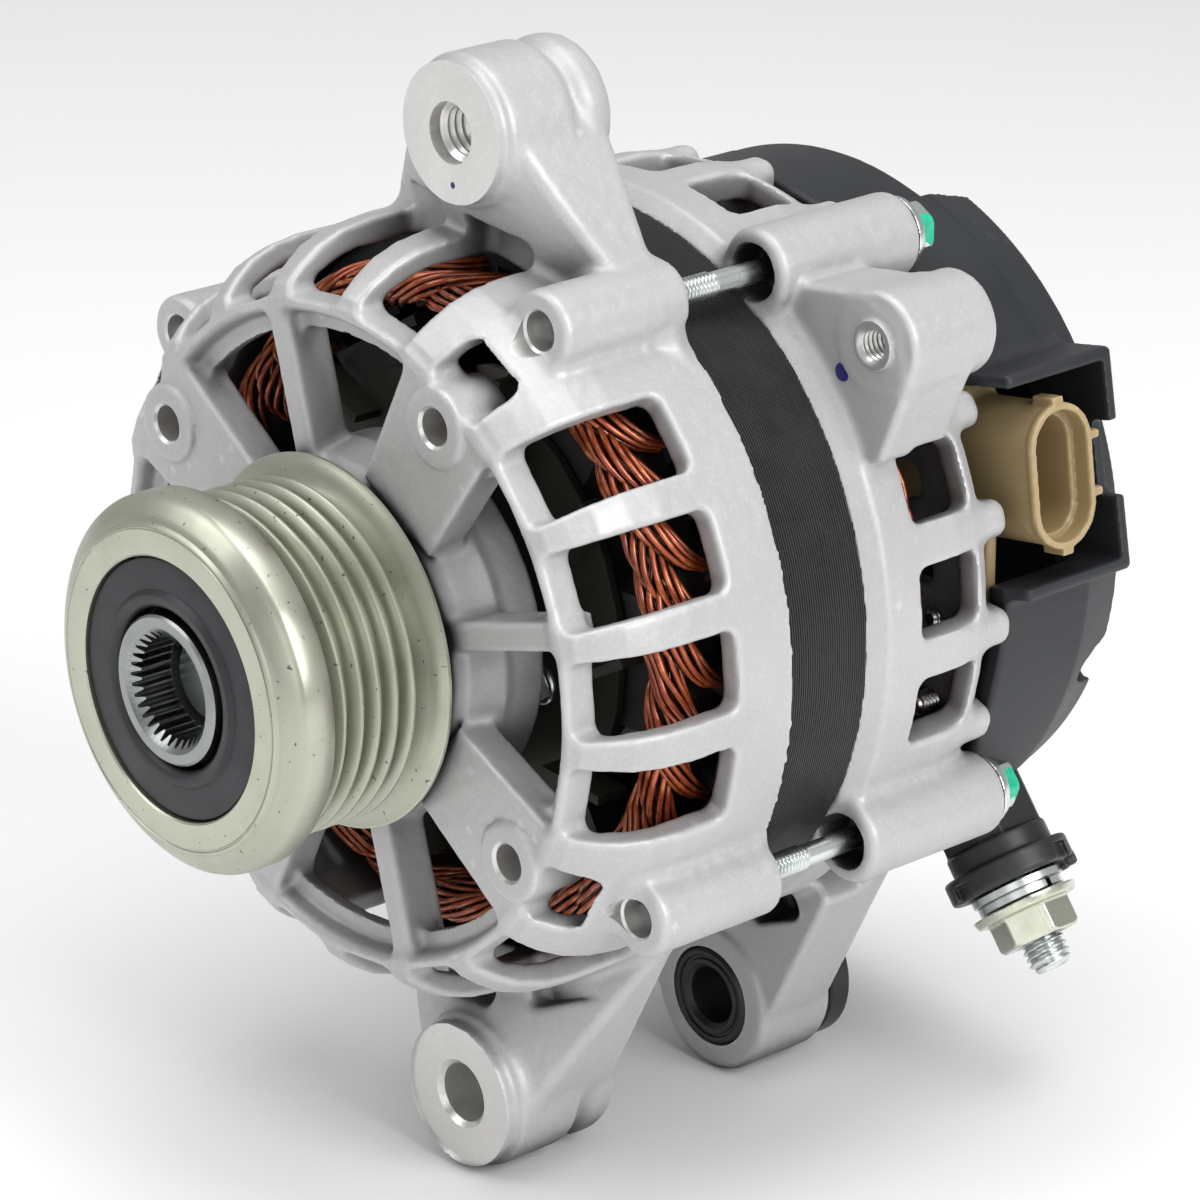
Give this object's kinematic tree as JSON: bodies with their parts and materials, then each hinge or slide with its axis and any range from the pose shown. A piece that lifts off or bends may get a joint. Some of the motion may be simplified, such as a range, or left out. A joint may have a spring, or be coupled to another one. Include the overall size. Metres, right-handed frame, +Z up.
{
  "type": "car alternator",
  "caption": "Belt-driven car alternator with a ribbed overrunning pulley, two vented aluminium brackets, a bare laminated stator, a plastic end cover with a side connector and an output stud.",
  "frame": {"origin": "centre of the rotor shaft's front end face, inside the pulley's socket", "axes": "+Y runs along the shaft from the pulley to the end cover, +Z up through the upper mounting ear, +X towards the connector side"},
  "size_m": [0.1345, 0.1613, 0.1944],
  "materials": {
    "cast_aluminium": "blasted as-cast aluminium with machined faces",
    "lamination_steel": "black varnished steel laminations",
    "enamelled_copper": "glossy red-brown enamelled copper wire",
    "bearing_steel": "ground steel",
    "forged_iron": "forged iron with a thin varnish",
    "zinc_plate": "bright zinc plate",
    "pulley_plate": "satin plate with a pale yellow-green tint",
    "black_plastic": "matte moulded plastic",
    "tan_plastic": "moulded plastic",
    "black_steel": "blackened steel",
    "carbon": "pressed carbon",
    "white_nylon": "moulded nylon"
  },
  "bodies": {
    "housing": {"bearing_retainer": "zinc_plate", "brush_spring_a": "zinc_plate", "brush_spring_b": "zinc_plate", "cover_screw_1": "zinc_plate", "cover_screw_2": "zinc_plate", "cover_screw_3": "zinc_plate", "diode_negative_1": "bearing_steel", "diode_negative_2": "bearing_steel", "diode_negative_3": "bearing_steel", "diode_positive_1": "bearing_steel", "diode_positive_2": "bearing_steel", "diode_positive_3": "bearing_steel", "end_cover": "black_plastic", "front_bearing_outer_race": "bearing_steel", "front_bracket": "cast_aluminium", "mounting_bush": "black_steel", "rear_bearing_outer_race": "bearing_steel", "rear_bracket": "cast_aluminium", "rectifier_negative_plate": "cast_aluminium", "rectifier_positive_plate": "cast_aluminium", "regulator": "tan_plastic", "regulator_screw_1": "zinc_plate", "regulator_screw_2": "zinc_plate", "retainer_screw_1": "zinc_plate", "retainer_screw_2": "zinc_plate", "retainer_screw_3": "zinc_plate", "retainer_screw_4": "zinc_plate", "stator_core": "lamination_steel", "stator_winding": "enamelled_copper", "terminal_collar": "zinc_plate", "terminal_insulator": "black_plastic", "terminal_nut": "zinc_plate", "terminal_stud": "zinc_plate", "through_bolt_1": "zinc_plate", "through_bolt_2": "zinc_plate", "through_bolt_3": "zinc_plate", "through_bolt_4": "zinc_plate"},
    "rotor": {"rotor_shaft": "bearing_steel", "front_claw_pole": "forged_iron", "rear_claw_pole": "forged_iron", "field_bobbin": "white_nylon", "field_coil": "enamelled_copper", "front_fan": "forged_iron", "rear_fan": "forged_iron", "slip_ring_sleeve": "black_plastic", "slip_ring_front": "enamelled_copper", "slip_ring_rear": "enamelled_copper", "front_bearing_inner_race": "bearing_steel", "rear_bearing_inner_race": "bearing_steel", "pulley_hub": "bearing_steel"},
    "pulley": {"pulley_rim": "pulley_plate", "pulley_dust_cap": "black_steel", "pulley_rear_seal": "black_plastic"},
    "front_balls": {"front_bearing_ball_cage": "bearing_steel"},
    "rear_balls": {"rear_bearing_ball_cage": "bearing_steel"},
    "clutch_rollers": {"clutch_roller_cage": "bearing_steel"},
    "brush_a_body": {"brush_a": "carbon"},
    "brush_b_body": {"brush_b": "carbon"}
  },
  "joints": [
    {"name": "rotor_spin", "type": "hinge", "parent": "housing", "child": "rotor", "pos_m": [0, 0.05, 0], "axis": [0, 1, 0], "continuous": true},
    {"name": "pulley_overrun", "type": "hinge", "parent": "rotor", "child": "pulley", "pos_m": [0, 0.01, 0], "axis": [0, 1, 0], "continuous": true},
    {"name": "front_balls_spin", "type": "hinge", "parent": "housing", "child": "front_balls", "pos_m": [0, 0.0367, 0], "axis": [0, 1, 0], "continuous": true},
    {"name": "rear_balls_spin", "type": "hinge", "parent": "housing", "child": "rear_balls", "pos_m": [0, 0.11265, 0], "axis": [0, 1, 0], "continuous": true},
    {"name": "clutch_rollers_spin", "type": "hinge", "parent": "rotor", "child": "clutch_rollers", "pos_m": [0, 0.009, 0], "axis": [0, 1, 0], "continuous": true},
    {"name": "brush_a_slide", "type": "slide", "parent": "housing", "child": "brush_a_body", "axis": [0, 0, 1], "range_m": [0, 0.004], "deforming": ["brush_spring_a"]},
    {"name": "brush_b_slide", "type": "slide", "parent": "housing", "child": "brush_b_body", "axis": [0, 0, 1], "range_m": [0, 0.004], "deforming": ["brush_spring_b"]}
  ],
  "couplings": [
    {"joint": "front_balls_spin", "follows": "rotor_spin", "ratio": 0.3885},
    {"joint": "rear_balls_spin", "follows": "rotor_spin", "ratio": 0.3972},
    {"joint": "clutch_rollers_spin", "follows": "pulley_overrun", "ratio": 0.5609}
  ]
}
